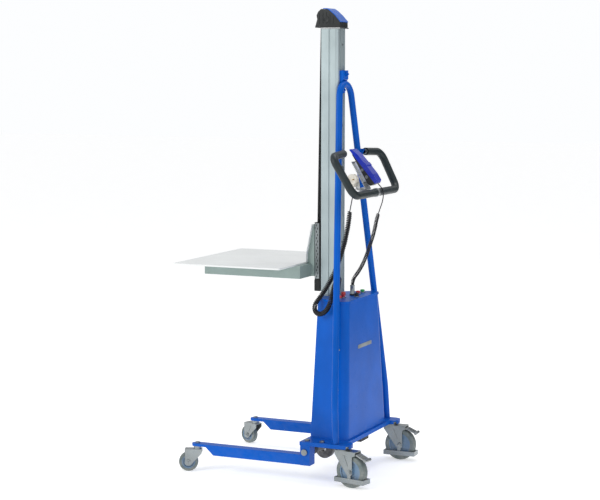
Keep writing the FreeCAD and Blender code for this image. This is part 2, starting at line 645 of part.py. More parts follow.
def build_lid():
    corners = mirrored([("front_high_half + 3", "front_face - 3"), ("box_high_half + lid_lip", "splay_y"),
                        ("box_high_half + lid_lip", "box_high_rear + lid_lip")])
    body = prism("lid_blank", "XY_Plane", corners, "box_top", "lid")
    rear = number("box_high_rear + lid_lip")
    round_edges(body, "box_fillet - 2", lambda a, b: upright(a, b) and abs(a.y - rear) < 0.01)
    mast = box(("-mast_half - 2", "mast_half + 2"), ("front_face - 4", "mast_rear + 2"),
               ("box_top - 1", "box_top + lid + 1"))
    stems = [cylinder(radius, "lid + 4", (x, y, "box_top - 2")) for x, y, radius in STEMS]
    sub_part("control_lid", cut(body, mast, *stems))


def build_batteries():
    pair = [box((x, f"{x} + 112"), ("44", "124"), ("base_top", "base_top + 165")) for x in ("6", "-118")]
    sub_part("batteries", group(*pair))


def build_screws():
    screws = []
    for z in ("197", "354", "507"):
        share = f"(({z}) - base_top) / (box_top - base_top)"
        half = f"(box_low_half - (box_low_half - box_high_half) * {share})"
        screws.append(cylinder("4.5", "3", (half, "98", z), "X"))
        screws.append(cylinder("4.5", "3", (f"-{half} - 3", "98", z), "X"))
    return sub_part("cover_screws", group(*screws))


# Controls on the lid: across, back, stem radius, head radius, head height, gap over the collar
CONTROLS = {
    "stop_button": ("58", "62", "6", "9", "12", "5.5"),
    "selector_knob": ("14", "100", "5", "8", "9", "0.5"),
    "red_button": ("-62", "74", "6", "9", "4.5", "3.5"),
    "green_button": ("-108", "74", "6", "9", "4.5", "3.5"),
}
LAMP = ("100", "66", "6")
GLAND = ("-14", "70", "7", "34")
CHARGER_GLAND = ("80", "46", "7", "9")
STEMS = [(x, y, f"{r} + 0.05") for x, y, r, *_ in CONTROLS.values()]
STEMS += [LAMP, GLAND[:3], CHARGER_GLAND[:3]]


def build_buttons():
    """Each control is a head on a stem through the lid, with a fixed collar under the head."""
    top = "box_top + lid"
    collars = []
    for name, (x, y, stem, head, height, gap) in CONTROLS.items():
        collars.append(ring(f"{head} + 2.5", f"{stem} + 0.5", "3", (x, y, top)))
        sub_part(name, fuse(cylinder(stem, f"15 + {gap}", (x, y, f"{top} - 12")),
                            cylinder(head, height, (x, y, f"{top} + 3 + {gap}"))))
    lamp = fuse(cylinder("6", "8", (*LAMP[:2], f"{top} - 8")), cylinder("8", "4", (*LAMP[:2], top)))
    sub_part("button_collars", group(*collars, lamp))


def build_glands():
    """A tall socket for the handset's lead and a short gland for the charger's, each on a hexagon."""
    top = "box_top + lid"
    glands = []
    for x, y, radius, height in (GLAND, CHARGER_GLAND):
        glands.append(fuse(cylinder(radius, "12", (x, y, f"{top} - 12")),
                           hexagon("11", "6", (x, y, top)), cylinder("8.5", height, (x, y, f"{top} + 6"))))
    sub_part("cable_glands", group(*glands))


# ---------------------------------------------------------------- A-frame and handle

def a_frame_points():
    """Foot, knee and the top of the slope on the left side, from the sheet."""
    foot = Vector(number("foot_x"), number("foot_y"), number("base_top"))
    knee = Vector(number("knee_x"), number("knee_y"), number("knee_z"))
    arm = Vector(number("arm_x"), number("arm_y"), number("arm_z"))
    peak = arm + (arm - knee) * (arm.x / (knee.x - arm.x))
    return foot, knee, peak


A_FRAME_BENDS = [260, number("apex"), 260]


def a_frame_route():
    foot, knee, peak = a_frame_points()
    return [foot, knee, peak] + [Vector(-p.x, p.y, p.z) for p in (knee, foot)]


def build_a_frame():
    wire, _ = smooth_path(a_frame_route(), A_FRAME_BENDS)
    tube_part("a_frame_tube", wire, number("tube"), number("tube") - 2)
    block = prism("bracket_blank", "YZ_Plane",
                  [("mast_rear", "1476"), ("mast_rear + 3", "1476"), ("mast_rear + 3", "1510"),
                   ("mast_rear + 16", "1530"), ("mast_rear + 16", "1562"), ("mast_rear", "1562")],
                  "-24", "48")
    tool = doc.addObject("Part::Feature", "bracket_groove")
    tool.Shape = swept(wire, number("tube") + 0.02)
    bolts = [fuse(cylinder("6.5", "6", ("0", y, z), "Y"), cylinder("3.5", "12", ("0", y, z), "Y"))
             for y, z in (("mast_rear + 16", "1548"), ("mast_rear + 3", "1487"))]
    sub_part("frame_bracket", group(cut(block, tool), *bolts))


def handle_points():
    """The loop's corners from one clamp, round the rear bar, to the other clamp."""
    left = [Vector(number("end_x"), number("end_y"), number("end_z")),
            Vector(number("top_half"), number("top_y"), number("top_z")),
            Vector(number("bar_half"), number("bar_y"), number("bar_z"))]
    return left + [Vector(-p.x, p.y, p.z) for p in reversed(left)]


def build_handle():
    """The rubber sleeve, the steel loop inside it and the clamps that hold it to the A-frame."""
    points = handle_points()
    bends = [34, 40, 40, 34]
    wire, _ = smooth_path(points, bends)
    inward = (points[0] - points[1]).normalize() * 13
    core = [points[0] + inward, *points[1:-1], points[-1] + Vector(-inward.x, inward.y, inward.z)]
    core_wire, _ = smooth_path(core, bends)
    tube_part("handle_grip", wire, number("grip"), number("handle_core") + 0.1)
    tube_part("handle_bar", core_wire, number("handle_core"), number("handle_core") - 2)
    holes = doc.addObject("Part::Feature", "clamp_holes")
    frame_wire, _ = smooth_path(a_frame_route(), A_FRAME_BENDS)
    core_hole = swept(core_wire, number("handle_core") + 0.02)
    holes.Shape = swept(frame_wire, number("tube") + 0.02).fuse(core_hole)
    blocks = [box((x, f"{x} + 12"), ("60", "85"), ("end_z - 11", "end_z + 11")) for x in ("97", "-109")]
    sub_part("handle_clamps", group(*[cut(block, holes) for block in blocks]))


def build_holder():
    """A ribbed plate on a band round the rear bar, with a steep shelf and block for the handset."""
    plate = prism("holder_plate", "YZ_Plane",
                  [("118", "1114"), ("157.5", "1100"), ("156.7", "1097.2"), ("117.2", "1111.2")],
                  "-20", "100")
    ribs = [prism("rib", "YZ_Plane",
                  [(f"{y}", f"{z} - 0.4"), (f"{y} + 1.5", f"{z} + 1.2"), (f"{y} + 3", f"{z} - 1.5")],
                  "16", "52") for y, z in ((120 + 7 * i, 1113.3 - 2.48 * i) for i in range(5))]
    shelf = prism("shelf", "YZ_Plane",
                  [("76", "1212.4"), ("137", "1106.8"), ("134.8", "1105.5"), ("73.8", "1211.1")],
                  "-40", "52")
    block = prism("holder_block", "YZ_Plane",
                  [("92", "1212.6"), ("134", "1139.9"), ("121.8", "1132.9"), ("79.8", "1205.6")],
                  "-30", "32")
    tab = prism("plug_tab", "YZ_Plane",
                [("119", "1112"), ("134", "1107"), ("130", "1146"), ("112", "1160"), ("102", "1148")],
                "64", "3")
    rod = cylinder("grip + 2.5", "160", ("-50", "bar_y", "bar_z"), "X")
    band = ring("grip + 2.5", "grip + 0.05", "12", ("-2", "bar_y", "bar_z"), "X")
    sub_part("handset_holder", group(cut(fuse(plate, *ribs, shelf, block, tab), rod), band))


# Buttons on the dark half's left side: along, up, radius
HANDSET_BUTTONS = {"up_button": ("10", "-7.5", "5.5"), "down_button": ("42", "-10.5", "6.5")}


def build_handset():
    """The pendant control: blue shell, dark underside and two buttons, tilted down to the rear."""
    at = ("handset_x", "handset_y + mast_y", "handset_z")
    tilt = ("handset_tilt", Vector(1, 0, 0))
    side = [("-84", "1"), ("-80", "9"), ("-46", "16"), ("-8", "17"), ("-4", "20"), ("8", "20"),
            ("12", "17.5"), ("50", "18"), ("78", "14"), ("84", "5"), ("84", "0"), ("-80", "0")]
    shell = prism("shell_blank", "YZ_Plane", side, "-handset_half", "2 * handset_half")
    round_edges(shell, "3", lambda a, b: abs(a.x - b.x) > 40 and min(a.z, b.z) > 4)
    sub_part("handset_shell", shell, at, *tilt)
    face = prism("face_blank", "YZ_Plane",
                 [("-66", "0"), ("-60", "-4"), ("-39", "-6.5"), ("66", "-25"), ("78", "-20"), ("82", "0")],
                 "3 - handset_half", "2 * handset_half - 6")
    wells = [cylinder(f"{radius} + 0.1", "12", ("handset_half - 13", y, z), "X")
             for y, z, radius in HANDSET_BUTTONS.values()]
    sub_part("handset_face", cut(face, *wells), at, *tilt)
    for name, (y, z, radius) in HANDSET_BUTTONS.items():
        sub_part(name, cylinder(radius, "8.5", ("handset_half - 9.5", y, z), "X"), at, *tilt)


def build_plug():
    """A round two-pin plug against the holder's tab, its pins towards the left side."""
    x, y, z = "plug_x", "plug_y", "plug_z"
    pieces = [cylinder("plug - 1", "26", (x, y, z), "X"), cylinder("plug", "6", (f"{x} + 20", y, z), "X"),
              box((f"{x} - 5", f"{x} + 20"), (f"{y} - 7", f"{y} + 7"), (f"{z} - 30", z))]
    pieces += [cylinder("2.4", "19", (f"{x} + 25", f"{y} + {side}", z), "X") for side in ("9.5", "-9.5")]
    sub_part("charger_plug", fuse(*pieces))


# Each lead's hand-chosen route, in the mast's frame
HANDSET_TAIL = [(-14, 173.6, 1131.6), (-14, 179, 1125.1), (-15, 187, 1117), (-16, 194, 1106),
                (-17, 196.5, 1091), (-18, 195, 1072), (-18.5, 189, 1050), (-19, 181, 1030),
                (-19, 175, 1012)]
HANDSET_COIL = [(-19, 175, 1012), (-19.5, 167, 988), (-20, 162, 960), (-20.5, 153, 927),
                (-21, 142, 895), (-22, 131, 863), (-22, 119, 833), (-21, 106, 805), (-19, 90, 779),
                (-16, 76, 760), (-14, 71, 744), (-14, 70, 730)]
CHARGER_TAIL = [(80, 112, 1120), (81, 112, 1100), (83, 109, 1077), (84, 104, 1052), (84, 99, 1026)]
CHARGER_COIL = [(84, 99, 1026), (84, 95, 988), (87, 89, 950), (91, 82, 910), (96, 72, 870),
                (102, 60, 830), (108, 47, 793), (115, 31, 758), (123, 12, 722), (133, -8, 691),
                (143, -21, 668), (153, -17, 645), (162, 4, 634), (168, 29, 642), (172, 48, 662),
                (175, 59, 690), (170, 65, 719), (164, 68, 745), (140, 72, 769), (108, 67, 770),
                (84, 52, 744), (80, 46, 705)]
CORD_ROUTES = {"handset_cord": (HANDSET_TAIL, "thin_cord"), "handset_coil": (HANDSET_COIL, "coil"),
               "charger_cord": (CHARGER_TAIL, "thin_cord"), "charger_coil": (CHARGER_COIL, "big_coil")}


def build_cords():
    """Each lead is a thin tail and one fat tube for its curly stretch."""
    for name, (route, radius) in CORD_ROUTES.items():
        wire, bends = smooth_path(route)
        tube_part(name, wire, number(radius))
        print(f"{name}: length {wire.Length:.0f}, radii", ", ".join(f"{r:.0f}" for r, _ in bends))


doc.recompute()
build_base_plate()
build_leg("left_leg", 1)
build_leg("right_leg", -1)
build_base_bolts()
build_castor_bearings()
build_castors()
build_mast()
build_top_plate()
build_cap()
build_lift()
build_carriage()
build_platform()
build_front_housing()
build_control_box()
build_lid()
build_batteries()
build_screws()
build_buttons()
build_glands()
build_a_frame()
build_handle()
build_holder()
build_handset()
build_plug()
build_cords()
doc.recompute()

failed = [item.Label for item in doc.Objects if "Invalid" in item.State or "Error" in item.State]
if failed:
    raise RuntimeError("these did not recompute: " + ", ".join(failed))
os.makedirs("parts", exist_ok=True)
for label, item in subparts.items():
    if item.Shape.isNull() or not item.Shape.isValid() or not item.Shape.Solids:
        raise RuntimeError(label + " has no valid solid")
    item.Shape.exportStep(f"parts/{label}.step")
print(len(subparts), "sub-parts")
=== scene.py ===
"""A light electric stacker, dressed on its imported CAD. Metres, +Z up, the operator at +Y."""

import math

import bmesh
import bpy
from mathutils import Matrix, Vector
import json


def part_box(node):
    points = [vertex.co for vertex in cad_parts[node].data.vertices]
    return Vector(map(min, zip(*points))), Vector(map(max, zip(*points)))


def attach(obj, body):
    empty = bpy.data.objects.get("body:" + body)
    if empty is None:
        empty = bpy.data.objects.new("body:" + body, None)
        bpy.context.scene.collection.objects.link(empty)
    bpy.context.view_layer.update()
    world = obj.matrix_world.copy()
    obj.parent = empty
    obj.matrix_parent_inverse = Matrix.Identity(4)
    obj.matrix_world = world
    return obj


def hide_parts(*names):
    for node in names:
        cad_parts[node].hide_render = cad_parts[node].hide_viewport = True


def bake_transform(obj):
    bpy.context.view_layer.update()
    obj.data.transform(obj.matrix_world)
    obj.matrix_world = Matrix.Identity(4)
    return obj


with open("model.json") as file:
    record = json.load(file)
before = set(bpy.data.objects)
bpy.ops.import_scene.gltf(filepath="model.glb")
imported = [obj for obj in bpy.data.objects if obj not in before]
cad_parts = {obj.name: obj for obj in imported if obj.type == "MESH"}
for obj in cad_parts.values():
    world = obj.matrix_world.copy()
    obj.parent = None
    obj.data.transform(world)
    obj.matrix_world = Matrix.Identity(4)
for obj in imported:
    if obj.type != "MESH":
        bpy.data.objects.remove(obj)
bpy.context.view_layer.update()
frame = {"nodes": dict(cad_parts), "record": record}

NODES = frame["nodes"]
MAST_Y = 0.1504  # the mast's middle, which most places are measured from


# ---------------------------------------------------------------- camera, light and floor

CAMERA_AZIMUTH, CAMERA_PITCH, CAMERA_PAN = 113.2, 6.12, 1.196  # degrees
CAMERA_HEIGHT, CAMERA_DISTANCE, CAMERA_LENS = 1.553, 6.409, 99.2


def make_camera():
    """A long lens from the machine's rear left, a little above the handle."""
    azimuth, pitch, pan = (math.radians(a) for a in (CAMERA_AZIMUTH, CAMERA_PITCH, CAMERA_PAN))
    back = Vector((math.sin(azimuth), -math.cos(azimuth), 0))
    data = bpy.data.cameras.new("camera")
    data.lens, data.sensor_width, data.clip_end = CAMERA_LENS, 36, 100
    camera = bpy.data.objects.new("camera", data)
    bpy.context.collection.objects.link(camera)
    camera.location = Vector((0, MAST_Y, CAMERA_HEIGHT)) + CAMERA_DISTANCE * back
    right = Vector((-back.y, back.x, 0))
    ahead = -(back * math.cos(pitch) + Vector((0, 0, math.sin(pitch))))
    ahead = ahead * math.cos(pan) - right * math.sin(pan)
    camera.rotation_euler = ahead.to_track_quat("-Z", "Y").to_euler()
    bpy.context.scene.camera = camera


def area_light(name, place, target, size, power, colour=(1, 1, 1)):
    data = bpy.data.lights.new(name, "AREA")
    data.shape, data.size, data.energy, data.color = "DISK", size, power, colour
    light = bpy.data.objects.new(name, data)
    bpy.context.collection.objects.link(light)
    light.location = place
    light.rotation_euler = (Vector(target) - Vector(place)).to_track_quat("-Z", "Y").to_euler()


def make_studio():
    """Soft studio light on a white sweep: the floor's own glow meets the white behind it."""
    scene = bpy.context.scene
    scene.view_settings.view_transform = "Standard"
    scene.world = bpy.data.worlds.new("studio")
    scene.world.use_nodes = True
    tree = scene.world.node_tree
    sky = tree.nodes["Background"]
    sky.inputs["Color"].default_value = (0.98, 0.99, 1.0, 1)
    path = tree.nodes.new("ShaderNodeLightPath")
    level = tree.nodes.new("ShaderNodeMapRange")
    level.inputs["To Min"].default_value = 0.62
    level.inputs["To Max"].default_value = 1.0
    tree.links.new(path.outputs["Is Camera Ray"], level.inputs["Value"])
    tree.links.new(level.outputs["Result"], sky.inputs["Strength"])
    area_light("key", (4.2, -3.2, 3.6), (0, 0, 0.9), 2.2, 120, (1, 0.985, 0.96))
    area_light("fill", (3.4, 4.6, 2.6), (0, 0.1, 0.8), 2.8, 34, (0.94, 0.97, 1))
    area_light("top", (-1.0, 0.3, 4.6), (0, 0, 0.6), 2.5, 50)
    mesh = bpy.data.meshes.new("floor")
    span = 30
    mesh.from_pydata([(-span, -span, 0), (span, -span, 0), (span, span, 0), (-span, span, 0)], [],
                     [(0, 1, 2, 3)])
    floor = bpy.data.objects.new("floor", mesh)
    bpy.context.collection.objects.link(floor)
    paper = finish("floor_paper", (0.90, 0.90, 0.90), rough=0.9, blotch=0.01, fine=90)
    surface = paper.node_tree.nodes["Principled BSDF"]
    surface.inputs["Emission Color"].default_value = (1, 1, 1, 1)
    surface.inputs["Emission Strength"].default_value = 0.44
    surface.inputs["Specular IOR Level"].default_value = 0.1
    mesh.materials.append(paper)
    make_flag()


def make_flag():
    """A dark card off to the rear right, out of the picture, that the cabinet's back reflects."""
    mesh = bpy.data.meshes.new("flag")
    mesh.from_pydata([(-3.8, 1.1, 0.02), (-1.3, 3.9, 0.02), (-1.3, 3.9, 3.0), (-3.8, 1.1, 3.0)], [],
                     [(0, 1, 2, 3)])
    flag = bpy.data.objects.new("flag", mesh)
    bpy.context.collection.objects.link(flag)
    mesh.materials.append(finish("flag_cloth", (0.02, 0.03, 0.05), rough=0.95, blotch=0.1, fine=90))
    flag.visible_camera = flag.visible_diffuse = flag.visible_shadow = False


# ---------------------------------------------------------------- materials

ROUNDED_EDGE, WORN_EDGE = 0.0007, 0.0016


class Shader:
    """One node material, built up a node at a time over a principled surface."""

    def __init__(self, name):
        self.material = bpy.data.materials.new(name)
        self.material.use_nodes = True
        self.tree = self.material.node_tree
        self.surface = self.tree.nodes["Principled BSDF"]
        self.coords = self.add("ShaderNodeTexCoord").outputs["Object"]

    def add(self, kind, **values):
        node = self.tree.nodes.new(kind)
        for key, value in values.items():
            if hasattr(node, key):
                setattr(node, key, value)
            else:
                self.feed(node.inputs[key.replace("_", " ")], value)
        return node

    def feed(self, socket, value):
        if isinstance(value, bpy.types.NodeSocket):
            self.tree.links.new(value, socket)
        else:
            socket.default_value = value

    def noise(self, scale, detail, stretch=(1, 1, 1), rough=0.55):
        """Noise with that many features per metre, stretched along the object's axes."""
        spread = self.add("ShaderNodeMapping")
        self.feed(spread.inputs["Vector"], self.coords)
        self.feed(spread.inputs["Scale"], stretch)
        grain = self.add("ShaderNodeTexNoise", Vector=spread.outputs[0], Scale=scale, Detail=detail,
                         Roughness=rough)
        return grain.outputs["Fac"]

    def ramp(self, value, low, high, start=0.0, end=1.0):
        node = self.add("ShaderNodeMapRange", Value=value)
        for name, number in (("From Min", low), ("From Max", high), ("To Min", start), ("To Max", end)):
            node.inputs[name].default_value = number
        return node.outputs["Result"]

    def mix(self, share, first, second):
        node = self.add("ShaderNodeMix", data_type="RGBA")
        for socket, value in zip((node.inputs[0], node.inputs[6], node.inputs[7]), (share, first, second)):
            self.feed(socket, (*value, 1) if isinstance(value, tuple) and len(value) == 3 else value)
        return node.outputs[2]

    def math(self, operation, *values):
        node = self.add("ShaderNodeMath", operation=operation)
        for socket, value in zip(node.inputs, values):
            self.feed(socket, value)
        return node.outputs[0]

    def edges(self, radius, spread):
        """1 on sharp edges, 0 on flat ground, broken up by the spread noise."""
        soft = self.add("ShaderNodeBevel", samples=4, Radius=radius).outputs[0]
        hard = self.add("ShaderNodeNewGeometry").outputs["Normal"]
        dot = self.add("ShaderNodeVectorMath", operation="DOT_PRODUCT")
        self.feed(dot.inputs[0], soft)
        self.feed(dot.inputs[1], hard)
        bend = self.math("SUBTRACT", 1.0, dot.outputs["Value"])
        return self.math("MULTIPLY", self.ramp(bend, 0.02, 0.22), self.ramp(spread, 0.42, 0.62))

    def bump(self, height, distance):
        """Surface relief over slightly rounded edges."""
        soft = self.add("ShaderNodeBevel", samples=4, Radius=ROUNDED_EDGE).outputs[0]
        node = self.add("ShaderNodeBump", Strength=1.0, Distance=distance, Height=height, Normal=soft)
        self.feed(self.surface.inputs["Normal"], node.outputs[0])


def finish(name, colour, rough=0.4, metal=0.0, blotch=0.06, fine=400, relief=0.0002, wear=0.0,
           worn=(0.6, 0.62, 0.64), coat=0.0, dust=0.0, stretch=(1, 1, 1), flecks=0.0, rough_range=0.08,
           sheen=0.0, shine=0.5):
    """A surface with colour variation, a fine grain, worn edges and a little dust near the floor."""
    s = Shader(name)
    broad = s.noise(5, 3)
    grain = s.noise(fine, 5, stretch)
    patches = s.noise(38, 6, rough=0.7)
    dark = tuple(c * (1 - 2.2 * blotch) for c in colour)
    light = tuple(min(1, c * (1 + 1.6 * blotch) + 0.01 * blotch) for c in colour)
    paint = s.mix(s.ramp(broad, 0.35, 0.65), dark, light)
    paint = s.mix(s.ramp(grain, 0.3, 0.7, 0, 0.35), paint, dark)
    if flecks:
        paint = s.mix(s.ramp(s.noise(900, 2), 0.68, 0.74, 0, flecks), paint, worn)
    if wear:
        edge = s.edges(WORN_EDGE, patches)
        paint = s.mix(s.math("MULTIPLY", edge, wear), paint, worn)
    if dust:
        height = s.add("ShaderNodeSeparateXYZ", Vector=s.coords).outputs["Z"]
        low = s.math("MULTIPLY", s.ramp(height, 0.32, 0.0), s.ramp(patches, 0.38, 0.68))
        paint = s.mix(s.math("MULTIPLY", low, dust), paint, (0.40, 0.38, 0.35))
    s.feed(s.surface.inputs["Base Color"], paint)
    s.feed(s.surface.inputs["Roughness"],
           s.ramp(s.math("ADD", patches, grain), 0.7, 1.3, rough - rough_range, rough + rough_range))
    s.surface.inputs["Metallic"].default_value = metal
    s.surface.inputs["Coat Weight"].default_value = coat
    s.surface.inputs["Coat Roughness"].default_value = 0.12
    s.surface.inputs["Sheen Weight"].default_value = sheen
    s.surface.inputs["Specular IOR Level"].default_value = shine
    s.bump(grain, relief)
    return s.material


def make_materials():
    blue, royal = (0.0, 0.098, 0.50), (0.006, 0.026, 0.46)
    return {
        "blue_paint": finish("blue_paint", blue, 0.34, blotch=0.07, fine=700, relief=0.00012, wear=0.25,
                             worn=(0.06, 0.20, 0.5), coat=0.04, dust=0.06, shine=0.10),
        "cap_blue": finish("cap_blue", blue, 0.25, blotch=0.05, fine=500, relief=0.00008, coat=0.1,
                           shine=0.2),
        "zinc": finish("zinc", (0.31, 0.345, 0.355), 0.33, 0.85, 0.14, 260, 0.00015, wear=0.4,
                       worn=(0.55, 0.58, 0.60), dust=0.3, flecks=0.2),
        "pedal_steel": finish("pedal_steel", (0.33, 0.36, 0.37), 0.42, 0.85, 0.12, 340, 0.0002, wear=0.6,
                              worn=(0.85, 0.85, 0.86), dust=0.4),
        "grey_tread": finish("grey_tread", (0.125, 0.165, 0.165), 0.62, blotch=0.10, fine=600, relief=0.0003,
                             wear=0.3, worn=(0.28, 0.31, 0.31), dust=0.55),
        "hub_plastic": finish("hub_plastic", (0.13, 0.235, 0.37), 0.45, blotch=0.08, fine=420, relief=0.0001,
                              wear=0.25, worn=(0.4, 0.48, 0.58), dust=0.35),
        "mast_aluminium": finish("mast_aluminium", (0.43, 0.51, 0.525), 0.36, 0.5, 0.05, 900, 0.00006,
                                 wear=0.3, worn=(0.8, 0.82, 0.83), stretch=(1, 1, 0.02)),
        "roller_steel": finish("roller_steel", (0.52, 0.53, 0.54), 0.3, 0.95, 0.08, 500, 0.0001, wear=0.3,
                               stretch=(0.1, 1, 1)),
        "cap_plastic": finish("cap_plastic", (0.016, 0.019, 0.02), 0.45, blotch=0.12, fine=800,
                              relief=0.00025, wear=0.35, worn=(0.07, 0.08, 0.08), shine=0.35),
        "belt": finish("belt", (0.012, 0.012, 0.014), 0.6, blotch=0.15, fine=900, relief=0.0003,
                       stretch=(1, 1, 0.15), wear=0.4, worn=(0.07, 0.07, 0.07)),
        "motor_paint": finish("motor_paint", (0.03, 0.03, 0.033), 0.45, blotch=0.12, fine=500,
                              relief=0.0003, wear=0.4, worn=(0.3, 0.3, 0.3), dust=0.4),
        "glide_plastic": finish("glide_plastic", (0.72, 0.72, 0.68), 0.55, blotch=0.05, fine=400),
        "tray_paint": finish("tray_paint", (0.29, 0.375, 0.35), 0.42, blotch=0.05, fine=650, relief=0.00012,
                             wear=0.35, worn=(0.62, 0.64, 0.62), coat=0.1),
        "white_paint": finish("white_paint", (0.80, 0.82, 0.82), 0.38, blotch=0.025, fine=650,
                              relief=0.00012, wear=0.25, worn=(0.55, 0.56, 0.56), coat=0.15),
        "battery_case": finish("battery_case", (0.04, 0.04, 0.045), 0.5),
        "red_plastic": finish("red_plastic", (0.62, 0.012, 0.02), 0.3, blotch=0.06, fine=300,
                              relief=0.00005, coat=0.4),
        "green_plastic": finish("green_plastic", (0.02, 0.42, 0.10), 0.3, blotch=0.06, fine=300,
                                relief=0.00005, coat=0.4),
        "dark_plastic": finish("dark_plastic", (0.014, 0.016, 0.018), 0.42, blotch=0.12, fine=700,
                               relief=0.00015, wear=0.3, worn=(0.11, 0.11, 0.12)),
        "grip_rubber": finish("grip_rubber", (0.010, 0.021, 0.024), 0.42, blotch=0.12, fine=520,
                              relief=0.00035, sheen=0.04, rough_range=0.1, shine=0.4),
        "holder_silver": finish("holder_silver", (0.66, 0.68, 0.69), 0.3, 0.85, 0.06, 700, 0.0001,
                                wear=0.4, worn=(0.9, 0.9, 0.9), stretch=(0.05, 1, 1)),
        "handset_blue": finish("handset_blue", royal, 0.3, blotch=0.06, fine=600, relief=0.00012,
                               coat=0.25, wear=0.2, worn=(0.03, 0.07, 0.6), shine=0.35),
        "button_plastic": finish("button_plastic", (0.17, 0.18, 0.19), 0.4, blotch=0.06, fine=300),
        "plug_plastic": finish("plug_plastic", (0.78, 0.75, 0.66), 0.35, blotch=0.05, fine=400,
                               relief=0.0001, coat=0.2),
        "plug_brass": finish("plug_brass", (0.62, 0.40, 0.16), 0.3, 0.9, 0.1, 500, 0.0001),
        "cord_rubber": finish("cord_rubber", (0.006, 0.006, 0.008), 0.34, blotch=0.15, fine=900,
                              relief=0.0001, shine=0.45),
    }


def dress_cad(materials):
    """Gives every CAD node its finish, and smooth shading on its round faces."""
    for entry in frame["record"]["subparts"]:
        mesh = NODES[entry["node"]].data
        mesh.materials.clear()
        mesh.materials.append(materials[entry["material_slot"]])
        mesh.shade_smooth()
        mesh.set_sharp_from_angle(angle=math.radians(32))


# ---------------------------------------------------------------- mesh helpers

def new_piece(name, mesh, material, body, *replaced):
    piece = bpy.data.objects.new(name, mesh)
    bpy.context.collection.objects.link(piece)
    mesh.materials.clear()
    mesh.materials.append(material)
    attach(piece, body)
    if replaced:
        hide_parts(*replaced)
    return piece


def tube_mesh(name, line, radius, sides):
    """A closed round tube along a line, with a frame that doesn't twist."""
    mesh = bpy.data.meshes.new(name)
    up = Vector((0.3, 0.2, 1)).normalized()
    rings = []
    for i, point in enumerate(line):
        ahead = (line[min(i + 1, len(line) - 1)] - line[max(i - 1, 0)]).normalized()
        up = (up - ahead * up.dot(ahead)).normalized()
        across = ahead.cross(up)
        rings.append([point + radius * (math.cos(a) * up + math.sin(a) * across)
                      for a in (2 * math.pi * k / sides for k in range(sides))])
    points = [p for ring in rings for p in ring]
    faces = [(i * sides + k, i * sides + (k + 1) % sides, (i + 1) * sides + (k + 1) % sides,
              (i + 1) * sides + k) for i in range(len(rings) - 1) for k in range(sides)]
    faces += [tuple(reversed(range(sides))), tuple(range(len(points) - sides, len(points)))]
    mesh.from_pydata(points, [], faces)
    mesh.shade_smooth()
    return mesh


def turned(bm, profile, place, direction, sides):
    """Adds a turned solid: (radius, height) points spun about an axis through place."""
    turn = Vector((0, 0, 1)).rotation_difference(Vector(direction))
    rows = []
    for radius, height in profile:
        rows.append([bm.verts.new(turn @ Vector((radius * math.cos(a), radius * math.sin(a), height))
                                  + Vector(place)) for a in (2 * math.pi * k / sides for k in range(sides))])
    for a, b in zip(rows, rows[1:]):
        for k in range(sides):
            bm.faces.new((a[k], a[(k + 1) % sides], b[(k + 1) % sides], b[k]))
    bm.faces.new(list(reversed(rows[0])))
    bm.faces.new(rows[-1])


def slab(bm, outline, thickness, place, across, along):
    """Adds a flat plate: its outline is drawn on two directions and thickened along their cross."""
    across, along = Vector(across), Vector(along)
    normal = across.cross(along)
    rows = [[bm.verts.new(Vector(place) + across * x + along * y + normal * depth) for x, y in outline]
            for depth in (0, thickness)]
    count = len(outline)
    for k in range(count):
        bm.faces.new((rows[0][k], rows[0][(k + 1) % count], rows[1][(k + 1) % count], rows[1][k]))
    bm.faces.new(list(reversed(rows[0])))
    bm.faces.new(rows[1])


CORNER_STEPS = 5


def rounded(width, height, radius):
    """The outline of a rounded rectangle, from its middle."""
    points = []
    for corner, (sx, sy) in enumerate(((1, 1), (-1, 1), (-1, -1), (1, -1))):
        for k in range(CORNER_STEPS + 1):
            a = math.pi / 2 * (corner + k / CORNER_STEPS)
            points.append((sx * (width / 2 - radius) + radius * math.cos(a),
                           sy * (height / 2 - radius) + radius * math.sin(a)))
    return points


def finished(bm, name, bevel):
    """The mesh with its edges rounded and its round faces smooth."""
    if bevel:
        sharp = [e for e in bm.edges if len(e.link_faces) == 2 and e.calc_face_angle() > math.radians(40)]
        bmesh.ops.bevel(bm, geom=sharp, offset=bevel, segments=2, affect="EDGES", clamp_overlap=True)
    bmesh.ops.recalc_face_normals(bm, faces=bm.faces)
    mesh = bpy.data.meshes.new(name)
    bm.to_mesh(mesh)
    bm.free()
    mesh.shade_smooth()
    mesh.set_sharp_from_angle(angle=math.radians(38))
    return mesh


# ---------------------------------------------------------------- leads

HANDSET_TAIL = [(-0.014, 0.1736, 1.1316), (-0.014, 0.179, 1.1251), (-0.015, 0.187, 1.117),
                (-0.016, 0.194, 1.106), (-0.017, 0.1965, 1.091), (-0.018, 0.195, 1.072),
                (-0.0185, 0.189, 1.050), (-0.019, 0.181, 1.030), (-0.019, 0.175, 1.012)]
HANDSET_COIL = [(-0.019, 0.175, 1.012), (-0.0195, 0.167, 0.988), (-0.020, 0.162, 0.960),
                (-0.0205, 0.153, 0.927), (-0.021, 0.142, 0.895), (-0.022, 0.131, 0.863),
                (-0.022, 0.119, 0.833), (-0.021, 0.106, 0.805), (-0.019, 0.090, 0.779),
                (-0.016, 0.076, 0.760), (-0.014, 0.071, 0.744), (-0.014, 0.070, 0.730)]
CHARGER_TAIL = [(0.080, 0.112, 1.120), (0.081, 0.112, 1.100), (0.083, 0.109, 1.077),
                (0.084, 0.104, 1.052), (0.084, 0.099, 1.026)]
